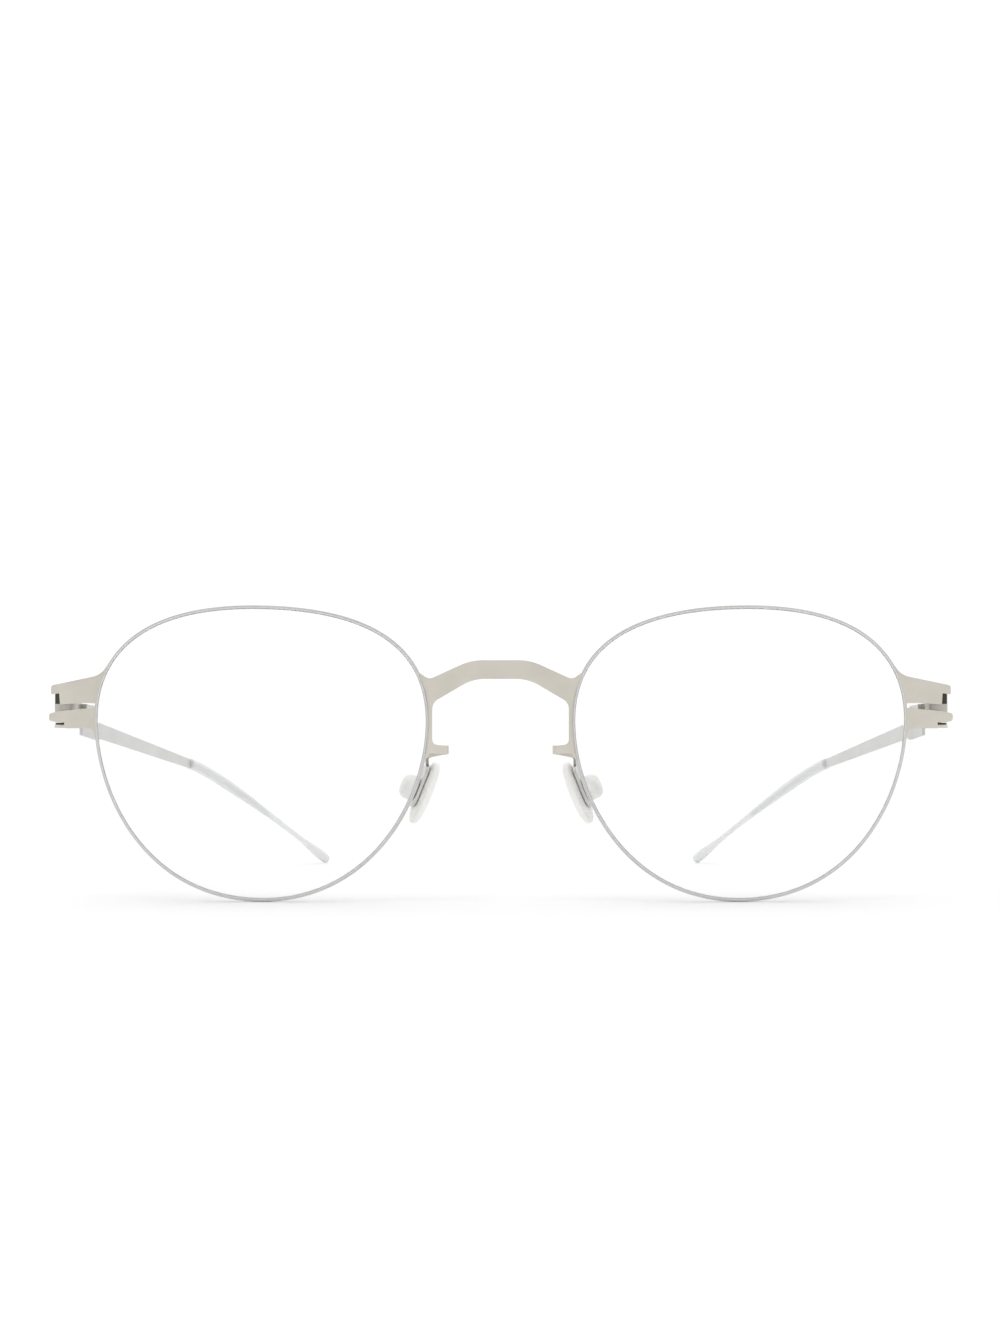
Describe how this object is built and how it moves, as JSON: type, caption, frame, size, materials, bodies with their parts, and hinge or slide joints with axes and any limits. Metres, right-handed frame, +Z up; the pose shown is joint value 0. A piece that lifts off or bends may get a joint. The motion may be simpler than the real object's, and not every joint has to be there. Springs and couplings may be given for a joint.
{
  "type": "eyeglasses",
  "caption": "Round sheet-steel eyeglasses with thin rims, clear lenses, silicone nose pads, and temples that fold on rolled spiral hinges.",
  "frame": {"origin": "on the table that the open eyeglasses stand on, at the middle of the bounding box", "axes": "+X to the wearer's left, +Y back along the temples, +Z up; the front faces -Y"},
  "size_m": [0.1348, 0.1378, 0.0439],
  "materials": {
    "steel_sheet": "satin, fine blasted grain",
    "lens_plastic": "clear, polished",
    "silicone": "translucent, soft satin",
    "tip_sleeve": "translucent, smooth"
  },
  "bodies": {
    "front": {"front_frame": "steel_sheet", "lens_left": "lens_plastic", "lens_right": "lens_plastic", "nose_pad_left": "silicone", "nose_pad_right": "silicone"},
    "left_temple": {"temple_left": "steel_sheet", "temple_tip_left": "tip_sleeve"},
    "right_temple": {"temple_right": "steel_sheet", "temple_tip_right": "tip_sleeve"}
  },
  "joints": [
    {"name": "left_hinge", "type": "hinge", "parent": "front", "child": "left_temple", "pos_m": [0.065, -0.06055, 0.0287], "axis": [0, 0, 1], "range_deg": [0, 70]},
    {"name": "right_hinge", "type": "hinge", "parent": "front", "child": "right_temple", "pos_m": [-0.065, -0.06055, 0.0287], "axis": [0, 0, -1], "range_deg": [0, 77]}
  ]
}
